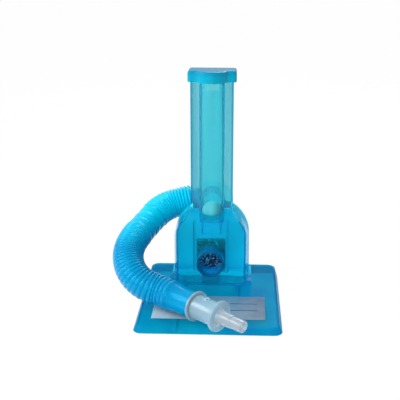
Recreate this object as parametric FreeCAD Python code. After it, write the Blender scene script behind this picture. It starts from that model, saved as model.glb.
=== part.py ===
import FreeCAD, Part
import math
import os

from FreeCAD import Placement, Rotation, Vector

# Incentive spirometer: a ball in a clear column, on a filter housing, on a wide base, with a breathing
# hose that leaves the back, comes round the left side and lays its mouthpiece across the base's front.
# Millimetres. Z is up, the inlet port faces -Y, and the origin is the middle of the base's underside.

# Base plate, a low wedge that is hollow below
base_width = 116.0
base_depth = 125.0
base_front_height = 4.6
base_back_height = 9.6
base_lean = 2.6
base_corner = 7.0
base_edge_round = 1.0
base_wall = 1.6
base_rib_spacing = 48.0
base_rib_thick = 1.2
base_rib_lift = 0.8

# Plinth that carries the housing, with a snap tab at its front and its back
plinth_width = 44.0
plinth_depth = 34.0
tab_width = 15.0
tab_thick = 1.4
tab_height = 8.0
tab_inset = 2.5

# Label card on the base's sloping top
label_width = 90.0
label_depth = 39.5
label_thick = 0.4
label_middle_y = -26.8

# Housing, in a front shell and a rear shell
wall = 1.6
housing_bottom = 13.0
panel_y = 2.5
panel_half = 28.8
panel_top = 70.0
panel_shoulder_z = 58.0
panel_shoulder_radius = 14.6
arch_radius = 31.7
arch_centre_z = 48.8
foot_reach = 2.2
foot_height = 4.2
foot_setback = 1.0

# Column: the return duct is its rear part, and the ball channel stands in the duct's open front
column_half = 17.5
column_front = 19.35
column_depth = 17.85
column_top = 188.6
channel_radius = 10.5
channel_centre_y = 20.5
channel_bore = 8.9
channel_back = 30.9
channel_bottom = 67.6
window_width = 12.0
window_height = 10.0
window_drop = 0.4

# Ball, its seat and its stop
ball_radius = 8.0
ball_rest_gap = 0.2
seat_thick = 2.2
seat_hole_radius = 5.5
stop_thick = 2.0
stop_hole_radius = 5.0
stop_drop = 6.7

# Duct that leads the air up to the seat
duct_half = 8.2
duct_gap = 0.2
duct_wall = 1.2
duct_height = 10.0
duct_tongue_width = 1.2
duct_tongue_height = 6.0

# Inlet port and the foam behind it
port_radius = 11.0
port_wall = 1.5
port_length = 16.9
port_neck_radius = 10.4
port_z = 38.3
foam_width = 24.0
foam_height = 26.2
foam_thick = 6.0
foam_rise = 0.7
rail_thick = 1.2
rail_gap = 1.4
retainer_thick = 1.2
retainer_window_width = 16.0
retainer_window_height = 18.0

# Partition between the filter chamber and the return duct
partition_thick = 1.4

# Top cap
cap_reach = 2.3
cap_thick = 1.9
cap_skirt = 7.0
cap_round = 1.2
cap_corner = 3.2
cap_cove = 3.0

# Outlet flange and the elbow that swivels on it
outlet_z = 77.5
outlet_flange_radius = 18.0
outlet_flange_thick = 2.2
outlet_spigot_radius = 9.5
outlet_spigot_length = 6.0
outlet_bore_radius = 8.0
elbow_axis_y = 51.0
elbow_socket_wall = 2.4
elbow_spigot_radius = 9.45
elbow_bore_radius = 7.9
elbow_spigot_length = 24.0
elbow_droop = 12.0

# Hose: rib crests, smooth cuffs and bore
hose_radius = 12.7
hose_bore_radius = 10.3
mid_cuff_radius = 12.0
end_cuff_radius = 10.65
end_cuff_bore = 9.5
hose_start = 12.4
hose_start_run = 18.6
hose_end_run = 33.25
arc_share = 0.45
mid_cuff_start_share = 0.5
mid_cuff_finish_share = 0.57
front_cuff_share = 0.1

# Mouthpiece, along its own axis from the middle of its rear flange
mouth_place = Vector(-9.0, -50.8, 18.3)
mouth_heading = -40.0
mouth_slope = -2.0
mouth_spigot_length = 15.0
mouth_flange_radius = 12.1
mouth_flange_thick = 2.4
mouth_barrel_radius = 9.2
mouth_barrel_length = 22.0
mouth_bore_radius = 7.7
mouth_lip_thick = 3.0
nub_height = 1.5
nub_length = 4.5
nub_width = 4.0
nub_at = 9.7
nozzle_root_radius = 5.45
nozzle_step_radius = 5.1
nozzle_tip_radius = 4.6
nozzle_root_length = 12.0
nozzle_tip_length = 11.0
nozzle_plug_radius = 4.8
nozzle_bore_radius = 3.3

# Clearances
seam_gap = 0.05
loose_gap = 0.2
running_gap = 0.3
tiny = 0.01

# How far a cutting block runs past what it cuts
past = 1.0

# Places that follow from the sizes above
split_y = column_front + wall
column_back = column_front + column_depth
shell_back = column_back - wall
rim_top = arch_centre_z + math.sqrt(arch_radius ** 2 - column_half ** 2)
floor_top = housing_bottom + wall
plinth_front = panel_y + seam_gap
seat_top = channel_bottom - seam_gap
duct_top = seat_top - seat_thick - seam_gap
ball_z = seat_top + math.sqrt(ball_radius ** 2 - seat_hole_radius ** 2) + ball_rest_gap
stop_z = column_top - stop_drop
window_top = stop_z - window_drop
hollow_back = channel_back - (channel_radius - channel_bore)
foam_front = panel_y + wall + loose_gap
foam_bottom = port_z + foam_rise - foam_height / 2
rail_inner = foam_width / 2 + rail_gap
retainer_front = foam_front + foam_thick + loose_gap / 2
duct_front = retainer_front + retainer_thick + duct_gap
flange_face = column_back + outlet_flange_thick
rear_tab_y = plinth_front + plinth_depth - tab_inset - tab_thick


def box(x, y, z):
    """A block between two limits along each axis."""
    return Part.makeBox(x[1] - x[0], y[1] - y[0], z[1] - z[0], Vector(x[0], y[0], z[0]))


def tube_y(radius, y, z):
    """A round bar along Y at height z, between two limits of y."""
    return Part.makeCylinder(radius, y[1] - y[0], Vector(0, y[0], z), Vector(0, 1, 0))


def save(name, shape):
    """Write one sub-part and print its size."""
    shape = shape.removeSplitter()
    shape.exportStep("parts/" + name + ".step")
    reach = shape.BoundBox
    print(f"{name:20s} solids {len(shape.Solids)} volume {shape.Volume:9.1f} valid {shape.isValid()}",
          f"x {reach.XMin:.1f} {reach.XMax:.1f} y {reach.YMin:.1f} {reach.YMax:.1f}",
          f"z {reach.ZMin:.1f} {reach.ZMax:.1f}")


# Base plate

def base_top_z(y):
    """Height of the base's sloping top at y."""
    slope = (base_back_height - base_front_height) / base_depth
    return base_front_height + slope * (y + base_depth / 2)


def round_rectangle(half_x, half_y, corner, height_at):
    """A closed wire round a rectangle with round corners, at the height that a rule gives for each y."""
    diagonal = corner * (1 - math.sqrt(0.5))

    def point(x, y):
        return Vector(x, y, height_at(y))

    edges = []
    for sign_x, sign_y in ((1, -1), (1, 1), (-1, 1), (-1, -1)):
        along_y = point(sign_x * half_x, sign_y * (half_y - corner))
        along_x = point(sign_x * (half_x - corner), sign_y * half_y)
        middle = point(sign_x * (half_x - diagonal), sign_y * (half_y - diagonal))
        if sign_x * sign_y > 0:
            edges.append(Part.Arc(along_y, middle, along_x).toShape())
        else:
            edges.append(Part.Arc(along_x, middle, along_y).toShape())
    corners = list(edges)
    for before, after in zip(corners, corners[1:] + corners[:1]):
        start = before.Vertexes[-1].Point
        end = after.Vertexes[0].Point
        edges.append(Part.LineSegment(start, end).toShape())
    return Part.Wire(Part.__sortEdges__(edges))


def wedge(inset, drop):
    """The base's wedge, smaller all round by inset and lower by drop."""
    half_x = base_width / 2 - inset
    half_y = base_depth / 2 - inset
    corner = base_corner - inset
    below = round_rectangle(half_x, half_y, corner, lambda y: 0.0)
    above = round_rectangle(half_x - base_lean, half_y - base_lean, corner, lambda y: base_top_z(y) - drop)
    return Part.makeLoft([below, above], True, True)


def rounded_wedge():
    """The outside of the base with its top edge rounded."""
    outside = wedge(0.0, 0.0)
    top = max(outside.Faces, key=lambda face: face.CenterOfMass.z)
    return outside.makeFillet(base_edge_round, top.Edges)


def snap_tab(y):
    """A tongue that stands on the plinth and passes through the housing's floor."""
    return box((-tab_width / 2, tab_width / 2), (y, y + tab_thick),
               (housing_bottom - wall, housing_bottom + tab_height))


def base_plate():
    """Hollow wedge, its plinth, two snap tabs and two long ribs."""
    plinth_back = plinth_front + plinth_depth
    plinth_half = plinth_width / 2
    plinth = box((-plinth_half, plinth_half), (plinth_front, plinth_back), (base_wall, housing_bottom))
    hollow_half = plinth_half - base_wall
    hollow = box((-hollow_half, hollow_half), (plinth_front + base_wall, plinth_back - base_wall),
                 (0, housing_bottom - base_wall))
    inside = wedge(base_wall, base_wall)
    body = rounded_wedge().fuse(plinth).cut(inside).cut(hollow)
    for side in (-1, 1):
        x = side * base_rib_spacing / 2
        rib = box((x - base_rib_thick / 2, x + base_rib_thick / 2), (-base_depth / 2, base_depth / 2),
                  (base_rib_lift, base_back_height))
        body = body.fuse(rib.common(inside))
    for y in (plinth_front + tab_inset, rear_tab_y):
        body = body.fuse(snap_tab(y))
    return body


def label_card():
    """A thin card on the sloping top, in front of the housing."""
    card = Part.makeBox(label_width, label_depth, label_thick, Vector(-label_width / 2, -label_depth / 2, 0))
    slope = math.degrees(math.atan((base_back_height - base_front_height) / base_depth))
    card.Placement = Placement(Vector(0, label_middle_y, base_top_z(label_middle_y)),
                               Rotation(Vector(1, 0, 0), slope))
    return card


# Housing

def shoulder_outline(half, radius, shoulder_z, top, bottom, y):
    """Upright sides, round shoulders and a flat top, in a plane of constant y."""
    centre_x = half - radius
    turn = math.asin((top - shoulder_z) / radius)
    top_x = centre_x + radius * math.cos(turn)
    middle_x = centre_x + radius * math.cos(turn / 2)
    middle_z = shoulder_z + radius * math.sin(turn / 2)
    right_foot, left_foot = Vector(half, y, bottom), Vector(-half, y, bottom)
    right_hip, left_hip = Vector(half, y, shoulder_z), Vector(-half, y, shoulder_z)
    right_top, left_top = Vector(top_x, y, top), Vector(-top_x, y, top)
    return Part.Wire([
        Part.LineSegment(left_foot, right_foot).toShape(),
        Part.LineSegment(right_foot, right_hip).toShape(),
        Part.Arc(right_hip, Vector(middle_x, y, middle_z), right_top).toShape(),
        Part.LineSegment(right_top, left_top).toShape(),
        Part.Arc(left_top, Vector(-middle_x, y, middle_z), left_hip).toShape(),
        Part.LineSegment(left_hip, left_foot).toShape(),
    ])


def front_block(inset, back):
    """The front shell's outside, or its hollow when inset by the wall."""
    panel = shoulder_outline(panel_half - inset, panel_shoulder_radius - inset, panel_shoulder_z,
                             panel_top - inset, housing_bottom + inset, panel_y + inset)
    rim = shoulder_outline(arch_radius - inset, arch_radius - inset, arch_centre_z,
                           rim_top - inset, housing_bottom + inset, column_front)
    taper = Part.makeLoft([panel, rim], True, True)
    collar = Part.Face(rim).extrude(Vector(0, back - column_front, 0))
    return taper.fuse(collar)


def arch_block(inset, front, back):
    """An arch with upright sides, between two limits of y."""
    half = arch_radius - inset
    bottom = housing_bottom + inset
    crown = Vector(0, front, arch_centre_z + half)
    right_foot, left_foot = Vector(half, front, bottom), Vector(-half, front, bottom)
    right_hip, left_hip = Vector(half, front, arch_centre_z), Vector(-half, front, arch_centre_z)
    outline = Part.Wire([
        Part.LineSegment(left_foot, right_foot).toShape(),
        Part.LineSegment(right_foot, right_hip).toShape(),
        Part.Arc(right_hip, crown, left_hip).toShape(),
        Part.LineSegment(left_hip, left_foot).toShape(),
    ])
    return Part.Face(outline).extrude(Vector(0, back - front, 0))


def bow_block(radius, back, bottom, top):
    """A block with a half-round front about the channel's centre and a square back, between two heights."""
    left, right = Vector(-radius, channel_centre_y, bottom), Vector(radius, channel_centre_y, bottom)
    nose = Vector(0, channel_centre_y - radius, bottom)
    left_back, right_back = Vector(-radius, back, bottom), Vector(radius, back, bottom)
    outline = Part.Wire([
        Part.Arc(left, nose, right).toShape(),
        Part.LineSegment(right, right_back).toShape(),
        Part.LineSegment(right_back, left_back).toShape(),
        Part.LineSegment(left_back, left).toShape(),
    ])
    return Part.Face(outline).extrude(Vector(0, 0, top - bottom))


def channel_block(grow, back, bottom, top):
    """The ball channel's outside, made larger all round by grow."""
    return bow_block(channel_radius + grow, back, bottom, top)


def tab_slot(y):
    """The hole in the housing's floor that a snap tab passes through."""
    half = tab_width / 2 + loose_gap
    return box((-half, half), (y - loose_gap, y + tab_thick + loose_gap),
               (housing_bottom - past, floor_top + past))


def side_feet(front, back, side_half):
    """The low flange along the foot of each side."""
    feet = []
    for side in (-1, 1):
        inner, outer = side * side_half, side * (arch_radius + foot_reach)
        feet.append(box((min(inner, outer), max(inner, outer)), (front, back),
                        (housing_bottom, housing_bottom + foot_height)))
    return feet


def housing_front():
    """Front shell: panel, sloping roof, tapered sides, filter rails and ledge."""
    outside = front_block(0.0, split_y)
    hollow = front_block(wall, split_y + past)
    for foot in side_feet(panel_y + foot_setback, split_y, panel_half - wall / 2):
        outside = outside.fuse(foot)
    body = outside.cut(hollow)
    rail_back = retainer_front + retainer_thick + loose_gap
    for side in (-1, 1):
        x = side * (rail_inner + rail_thick / 2)
        rail = box((x - rail_thick / 2, x + rail_thick / 2), (panel_y + wall / 2, rail_back),
                   (foam_bottom - rail_thick, panel_top - wall))
        body = body.fuse(rail)
    ledge = box((-rail_inner - rail_thick / 2, rail_inner + rail_thick / 2), (panel_y + wall / 2, rail_back),
                (foam_bottom - rail_thick - loose_gap, foam_bottom - loose_gap))
    body = body.fuse(ledge)
    body = body.cut(channel_block(seam_gap, split_y + past, duct_top, rim_top + past))
    body = body.cut(tube_y(port_neck_radius + seam_gap, (panel_y - past, panel_y + wall), port_z))
    return body.cut(tab_slot(plinth_front + tab_inset))


def housing_rear():
    """Rear shell: arch, back wall, and a roof that is open below the column."""
    outside = arch_block(0.0, split_y, column_back)
    for foot in side_feet(split_y, column_back, arch_radius - wall / 2):
        outside = outside.fuse(foot)
    body = outside.cut(arch_block(wall, split_y - past, shell_back))
    opening_half = column_half - wall
    crown = arch_centre_z + arch_radius
    body = body.cut(box((-opening_half, opening_half), (split_y - past, shell_back),
                        (rim_top - 2 * wall, crown + past)))
    body = body.cut(tube_y(outlet_bore_radius, (shell_back - past, column_back + past), outlet_z))
    return body.cut(tab_slot(rear_tab_y))


def inlet_port():
    """The open pipe in front of the panel, and its smaller neck that passes through the panel."""
    front, shoulder, back = panel_y - port_length, panel_y - seam_gap, panel_y + wall
    pipe = tube_y(port_radius, (front, shoulder), port_z)
    neck = tube_y(port_neck_radius, (shoulder, back), port_z)
    return pipe.fuse(neck).cut(tube_y(port_radius - port_wall, (front - past, back + past), port_z))


def foam_filter():
    """The foam block behind the port."""
    half = foam_width / 2
    return box((-half, half), (foam_front, foam_front + foam_thick), (foam_bottom, foam_bottom + foam_height))


def filter_retainer():
    """The window frame that keeps the foam against the panel."""
    half = rail_inner - loose_gap
    back = retainer_front + retainer_thick
    plate = box((-half, half), (retainer_front, back), (foam_bottom, foam_bottom + foam_height))
    middle = foam_bottom + foam_height / 2
    across, up = retainer_window_width / 2, retainer_window_height / 2
    window = box((-across, across), (retainer_front - past, back + past), (middle - up, middle + up))
    bar_half = retainer_thick / 2
    bar = box((-half, half), (retainer_front, back), (middle - bar_half, middle + bar_half))
    return plate.cut(window).fuse(bar)


def partition_plate():
    """Upright wall in the rear shell, with a shelf that closes the duct round the channel."""
    front = channel_back + seam_gap
    back = front + partition_thick
    sheet = arch_block(wall + loose_gap, front, back)
    sheet = sheet.cut(box((-arch_radius, arch_radius), (front - past, back + past),
                          (rim_top, rim_top + arch_radius)))
    half = column_half - wall - loose_gap
    shelf = box((-half, half), (split_y + loose_gap, back), (rim_top - partition_thick, rim_top))
    shelf = shelf.cut(channel_block(loose_gap, front, rim_top - partition_thick - past, rim_top + past))
    return sheet.fuse(shelf)


# Column, ball and duct

def ball_channel():
    """The clear channel that the ball rides in, with the return window high in its back wall."""
    outside = channel_block(0.0, channel_back, channel_bottom, column_top)
    grow = channel_bore - channel_radius
    body = outside.cut(channel_block(grow, hollow_back, channel_bottom - past, column_top + past))
    window = box((-window_width / 2, window_width / 2), (hollow_back - past, channel_back + past),
                 (window_top - window_height, window_top))
    return body.cut(window)


def return_duct():
    """The column's rear part: back, sides and the two narrow front wings."""
    bottom = rim_top + seam_gap
    outside = box((-column_half, column_half), (column_front, column_back), (bottom, column_top))
    inner_half = column_half - wall
    hollow = box((-inner_half, inner_half), (split_y, shell_back), (bottom - past, column_top + past))
    mouth_half = channel_radius + seam_gap
    mouth = box((-mouth_half, mouth_half), (column_front - past, split_y + past),
                (bottom - past, column_top + past))
    body = outside.cut(hollow).cut(mouth)
    body = body.cut(arch_block(-seam_gap, split_y - seam_gap, column_back + past))
    return body.cut(tube_y(outlet_bore_radius, (shell_back - past, column_back + past), outlet_z))


def ball_seat():
    """The plate below the channel, with the hole that the ball rests in."""
    plate = channel_block(0.0, channel_back, seat_top - seat_thick, seat_top)
    below = Vector(0, channel_centre_y, seat_top - seat_thick - past)
    hole = Part.makeCylinder(seat_hole_radius, seat_thick + 2 * past, below)
    return plate.cut(hole)


def ball_stop():
    """The ring near the channel's top that stops the ball."""
    ring = bow_block(channel_bore - seam_gap, hollow_back - seam_gap, stop_z, stop_z + stop_thick)
    return ring.cut(Part.makeCylinder(stop_hole_radius, stop_thick, Vector(0, channel_centre_y, stop_z)))


def ball():
    """The float, at rest in its seat."""
    return Part.makeSphere(ball_radius, Vector(0, channel_centre_y, ball_z))


def inlet_duct():
    """The square duct below the seat, with a small tongue at its front."""
    bottom = duct_top - duct_height
    outside = box((-duct_half, duct_half), (duct_front, channel_back), (bottom, duct_top))
    inner_half = duct_half - duct_wall
    hollow = box((-inner_half, inner_half), (duct_front + duct_wall, channel_back - duct_wall),
                 (bottom - past, duct_top + past))
    tongue = box((-duct_tongue_width / 2, duct_tongue_width / 2), (duct_front, duct_front + duct_wall),
                 (bottom - duct_tongue_height, bottom + past))
    return outside.cut(hollow).fuse(tongue)


def cap_block(reach, bottom, top):
    """The column's outline made larger by reach, between two heights."""
    half = column_half + reach
    rear = box((-half, half), (column_front - reach, column_back + reach), (bottom, top))
    front = bow_block(channel_radius + reach, channel_back, bottom, top)
    return rear.fuse(front)


def round_uprights(shape, radius, nearest, furthest):
    """Round the upright edges that lie between two distances from the middle plane."""
    edges = [edge for edge in shape.Edges
             if edge.BoundBox.XLength < tiny and edge.BoundBox.YLength < tiny
             and nearest < abs(edge.BoundBox.Center.x) < furthest]
    return shape.makeFillet(radius, edges)


def top_cap():
    """The press-on cap, with round corners and a skirt round the column's head."""
    top = column_top + seam_gap + cap_thick
    outside = cap_block(cap_reach, column_top - cap_skirt, top).removeSplitter()
    outside = round_uprights(outside, cap_cove, 0.0, channel_radius + cap_reach)
    outside = round_uprights(outside, cap_corner, column_half, base_width)
    crown = [edge for edge in outside.Edges if edge.BoundBox.ZMin > top - tiny]
    outside = outside.makeFillet(cap_round, crown)
    return outside.cut(cap_block(seam_gap, column_top - cap_skirt - past, column_top + seam_gap))


# Outlet

def outlet_flange():
    """The disc and spigot on the back of the column."""
    tip = flange_face + outlet_spigot_length
    plate = tube_y(outlet_flange_radius, (column_back, flange_face), outlet_z)
    spigot = tube_y(outlet_spigot_radius, (column_back, tip), outlet_z)
    return plate.fuse(spigot).cut(tube_y(outlet_bore_radius, (column_back - past, tip + past), outlet_z))


def elbow_direction():
    """The way the hose leaves the elbow: to the left and a little down."""
    droop = math.radians(elbow_droop)
    return Vector(-math.cos(droop), 0, -math.sin(droop))


def elbow_arm(radius, length):
    """A bar from the elbow's corner along the way the hose leaves, with a round end at the corner."""
    corner = Vector(0, elbow_axis_y, outlet_z)
    arm = Part.makeCylinder(radius, length, corner, elbow_direction())
    return arm.fuse(Part.makeSphere(radius, corner))


def outlet_elbow():
    """Elbow: a socket that turns on the outlet's spigot, and a spigot for the hose."""
    socket_bore = outlet_spigot_radius + seam_gap
    socket_front = flange_face + running_gap
    socket_back = flange_face + outlet_spigot_length + running_gap
    socket = tube_y(socket_bore + elbow_socket_wall, (socket_front, socket_back), outlet_z)
    neck = tube_y(elbow_spigot_radius, (socket_front, elbow_axis_y), outlet_z)
    outside = socket.fuse(neck).fuse(elbow_arm(elbow_spigot_radius, elbow_spigot_length))
    hollow = tube_y(elbow_bore_radius, (socket_front - past, elbow_axis_y), outlet_z)
    hollow = hollow.fuse(tube_y(socket_bore, (socket_front - past, socket_back), outlet_z))
    return outside.cut(hollow).cut(elbow_arm(elbow_bore_radius, elbow_spigot_length + past))


# Hose

def mouth_axis():
    """The way the mouthpiece points."""
    heading, slope = math.radians(mouth_heading), math.radians(mouth_slope)
    return Vector(math.cos(heading) * math.cos(slope), math.sin(heading) * math.cos(slope), math.sin(slope))


def hose_route():
    """Corners of the hose's centre line, from the elbow to the mouthpiece's flange."""
    corner = Vector(0, elbow_axis_y, outlet_z)
    flange_back = mouth_place - mouth_axis() * (mouth_flange_thick / 2 + seam_gap)
    return [
        corner + elbow_direction() * hose_start,
        corner + elbow_direction() * (hose_start + hose_start_run),
        Vector(-45.5, 43.0, 67.0),
        Vector(-55.5, 26.0, 58.5),
        Vector(-65.5, 5.5, 51.5),
        Vector(-68.5, -7.0, 42.5),
        Vector(-64.0, -18.5, 32.5),
        Vector(-52.5, -25.5, 24.0),
        flange_back - mouth_axis() * hose_end_run,
        flange_back,
    ]


def rounded_route(points):
    """Straight spans and tangent arcs along the corners, each arc as large as its two runs allow."""
    runs = [after - before for before, after in zip(points, points[1:])]
    starts, ends, arcs = [points[0]], [], []
    for index in range(1, len(points) - 1):
        before, after = runs[index - 1], runs[index]
        turn = before.getAngle(after)
        cut = arc_share * min(before.Length, after.Length)
        radius = cut / math.tan(turn / 2)
        enter = points[index] - Vector(before).normalize() * cut
        leave = points[index] + Vector(after).normalize() * cut
        inward = (enter + leave) * 0.5 - points[index]
        depth = radius / math.cos(turn / 2) - radius
        arcs.append((enter, points[index] + Vector(inward).normalize() * depth, leave))
        ends.append(enter)
        starts.append(leave)
        print(f"hose corner {index}: turn {math.degrees(turn):.1f} radius {radius:.1f} runs",
              f"{before.Length:.1f} {after.Length:.1f}")
    ends.append(points[-1])
    return list(zip(starts, ends)), arcs


def route_piece(spans, arcs, first, last):
    """The wire between two places on the route, each given as a run and a share of its straight span."""
    place = spans[first[0]][0] + (spans[first[0]][1] - spans[first[0]][0]) * first[1]
    finish = spans[last[0]][0] + (spans[last[0]][1] - spans[last[0]][0]) * last[1]
    edges = []
    for run in range(first[0], last[0]):
        if (spans[run][1] - place).Length > tiny:
            edges.append(Part.LineSegment(place, spans[run][1]).toShape())
        edges.append(Part.Arc(*arcs[run]).toShape())
        place = spans[run + 1][0]
    if (finish - place).Length > tiny:
        edges.append(Part.LineSegment(place, finish).toShape())
    return Part.Wire(edges)


def swept(path, radius):
    """A round bar along a path."""
    start = path.Edges[0]
    place = start.valueAt(start.FirstParameter)
    along = start.tangentAt(start.FirstParameter)
    ring = Part.Wire(Part.makeCircle(radius, place, along))
    return Part.Wire(path).makePipeShell([ring], True, True)


def hose_piece(name, path, radius, bore):
    """One stretch of the hose, as a plain tube."""
    body = swept(path, radius).cut(swept(path, bore))
    section = math.pi * (radius ** 2 - bore ** 2)
    print(f"{name}: length {path.Length:.1f} volume {body.Volume:.0f}",
          f"section times length {section * path.Length:.0f}")
    return body


def hose_pieces():
    """The hose's five stretches, each between two places given as a run and a share of its straight span."""
    spans, arcs = rounded_route(hose_route())
    first_span = spans[0][1] - spans[0][0]
    past_flange = (outlet_flange_radius + running_gap) / math.cos(math.radians(elbow_droop))
    start, finish = (0, 0.0), (len(spans) - 1, 1.0)
    ribs_begin = (0, (past_flange - hose_start) / first_span.Length)
    mid_cuff_start, mid_cuff_finish = (2, mid_cuff_start_share), (3, mid_cuff_finish_share)
    ribs_finish = (len(spans) - 1, front_cuff_share)
    stretches = (
        ("hose_rear_cuff", start, ribs_begin, end_cuff_radius, end_cuff_bore),
        ("hose_upper", ribs_begin, mid_cuff_start, hose_radius, hose_bore_radius),
        ("hose_middle_cuff", mid_cuff_start, mid_cuff_finish, mid_cuff_radius, hose_bore_radius),
        ("hose_lower", mid_cuff_finish, ribs_finish, hose_radius, hose_bore_radius),
        ("hose_front_cuff", ribs_finish, finish, end_cuff_radius, end_cuff_bore),
    )
    pieces = {}
    for name, first, last, radius, bore in stretches:
        pieces[name] = hose_piece(name, route_piece(spans, arcs, first, last), radius, bore)
    return pieces


# Mouthpiece

def along_mouth(shape):
    """Turn a shape made along Z onto the mouthpiece's axis, with its own +Y side kept up."""
    axis = mouth_axis()
    side = Vector(0, 0, 1).cross(axis).normalize()
    upright = axis.cross(side)
    turn = Rotation(side, upright, axis, "ZYX")
    shape.Placement = Placement(mouth_place, turn)
    return shape


def disc(radius, low, high):
    """A round bar along Z between two heights."""
    return Part.makeCylinder(radius, high - low, Vector(0, 0, low))


def mouthpiece_adapter():
    """Spigot, rear flange, barrel with a nub, and front flange."""
    half_flange = mouth_flange_thick / 2
    spigot = disc(elbow_spigot_radius, -mouth_spigot_length, 0)
    flange = disc(mouth_flange_radius, -half_flange, half_flange)
    barrel = disc(mouth_barrel_radius, 0, mouth_barrel_length)
    lip = disc(mouth_flange_radius, mouth_barrel_length, mouth_barrel_length + mouth_lip_thick)
    nub = box((-nub_width / 2, nub_width / 2), (0, mouth_barrel_radius + nub_height),
              (nub_at - nub_length / 2, nub_at + nub_length / 2))
    body = spigot.fuse(flange).fuse(barrel).fuse(lip).fuse(nub)
    body = body.cut(disc(mouth_bore_radius, -mouth_spigot_length - past, mouth_barrel_length))
    socket = disc(nozzle_plug_radius + seam_gap, 0, mouth_barrel_length + mouth_lip_thick + past)
    return along_mouth(body.cut(socket))


def mouthpiece_nozzle():
    """The stepped, tapered nozzle, plugged into the front flange."""
    start = mouth_barrel_length + mouth_lip_thick
    step = start + nozzle_root_length
    end = step + nozzle_tip_length
    plug = disc(nozzle_plug_radius, mouth_barrel_length, start + past)
    root = Part.makeCone(nozzle_root_radius, nozzle_step_radius, nozzle_root_length - seam_gap,
                         Vector(0, 0, start + seam_gap))
    tip = disc(nozzle_tip_radius, step, end)
    body = plug.fuse(root).fuse(tip)
    return along_mouth(body.cut(disc(nozzle_bore_radius, mouth_barrel_length - past, end + past)))


os.makedirs("parts", exist_ok=True)

save("base_plate", base_plate())
save("label_card", label_card())
save("housing_front", housing_front())
save("housing_rear", housing_rear())
save("inlet_port", inlet_port())
save("foam_filter", foam_filter())
save("filter_retainer", filter_retainer())
save("partition_plate", partition_plate())
save("inlet_duct", inlet_duct())
save("ball_seat", ball_seat())
save("ball", ball())
save("ball_stop", ball_stop())
save("ball_channel", ball_channel())
save("return_duct", return_duct())
save("top_cap", top_cap())
save("outlet_flange", outlet_flange())
save("outlet_elbow", outlet_elbow())
for hose_name, hose_shape in hose_pieces().items():
    save(hose_name, hose_shape)
save("mouthpiece_adapter", mouthpiece_adapter())
save("mouthpiece_nozzle", mouthpiece_nozzle())
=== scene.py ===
import math

import bmesh
import bpy
from mathutils import Matrix, Vector, noise as rough_field


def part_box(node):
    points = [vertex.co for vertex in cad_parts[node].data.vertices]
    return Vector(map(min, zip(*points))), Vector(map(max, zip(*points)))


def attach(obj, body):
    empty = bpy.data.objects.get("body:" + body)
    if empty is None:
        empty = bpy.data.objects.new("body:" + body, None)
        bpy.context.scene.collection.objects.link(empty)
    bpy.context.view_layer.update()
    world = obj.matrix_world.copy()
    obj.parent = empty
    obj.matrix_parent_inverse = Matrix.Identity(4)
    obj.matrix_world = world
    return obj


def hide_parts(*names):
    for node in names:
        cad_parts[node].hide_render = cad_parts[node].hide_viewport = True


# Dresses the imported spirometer: finishes for every moulded piece, a corrugated hose, turned mouthpiece
# parts, a rounder cap, an open-cell foam and a ruled label card. Metres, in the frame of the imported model:
# the origin is the middle of the base's underside, Z is up and the inlet port faces -Y.

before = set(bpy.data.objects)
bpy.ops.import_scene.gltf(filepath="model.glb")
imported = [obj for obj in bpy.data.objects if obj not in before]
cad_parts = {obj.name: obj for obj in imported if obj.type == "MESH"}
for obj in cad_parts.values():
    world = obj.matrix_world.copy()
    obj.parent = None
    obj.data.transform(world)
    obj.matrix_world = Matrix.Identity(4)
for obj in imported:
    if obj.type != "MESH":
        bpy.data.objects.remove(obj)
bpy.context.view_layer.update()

MM = 0.001
WHITE = (1.0, 1.0, 1.0)

# Camera, fitted to the photograph's 400 by 400 frame; its angles are in degrees
CAMERA_PLACE = Vector((25.3, -607.5, 278.6)) * MM
CAMERA_YAW = 1.84
CAMERA_PITCH = 17.05
CAMERA_ROLL = 0.24
FOCAL_PIXELS = 786.6
IMAGE_PIXELS = 400
PRINCIPAL_POINT = (218.0, 196.1)
SENSOR_WIDTH = 36.0

# Hose, along its line from the elbow to the mouthpiece
ELBOW_CORNER = Vector((0.0, 51.0, 77.5)) * MM
ELBOW_DROOP = 12.0
HOSE_START = 12.4 * MM
HOSE_START_RUN = 18.6 * MM
HOSE_END_RUN = 33.25 * MM
HOSE_LENGTH = 0.178
HOSE_RADIUS = 12.7 * MM
HOSE_WALL = 1.0 * MM
END_CUFF_RADIUS = 10.65 * MM
MID_CUFF_RADIUS = 12.3 * MM
FRONT_CUFF_RADIUS = 11.6 * MM
FRONT_CUFF_TAPER = 12.0 * MM
END_STEP = 1.0 * MM
UPPER_START = 6.3 * MM
MIDDLE_START = 45.4 * MM
LOWER_START = 70.7 * MM
FRONT_CUFF_START = 155.4 * MM
UPPER_RIBS = 13
MID_BULGES = 3
LOWER_RIBS = 30
TIGHT_RIBS = 12
RIB_GROWTH = 2.2
UPPER_DEPTHS = (1.6 * MM, 0.7 * MM)
MID_DEPTHS = (0.9 * MM, 0.9 * MM)
LOWER_DEPTHS = (0.45 * MM, 0.75 * MM)

# Hose: how broad its crests are, lower being broader, and how finely it is drawn
RIB_SHARPNESS = 0.7
BULGE_SHARPNESS = 0.45
LINE_STEPS = 24
HOSE_SIDES = 64
RINGS_PER_RIB = 8
HOSE_SMOOTH_ANGLE = 75.0

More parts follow.
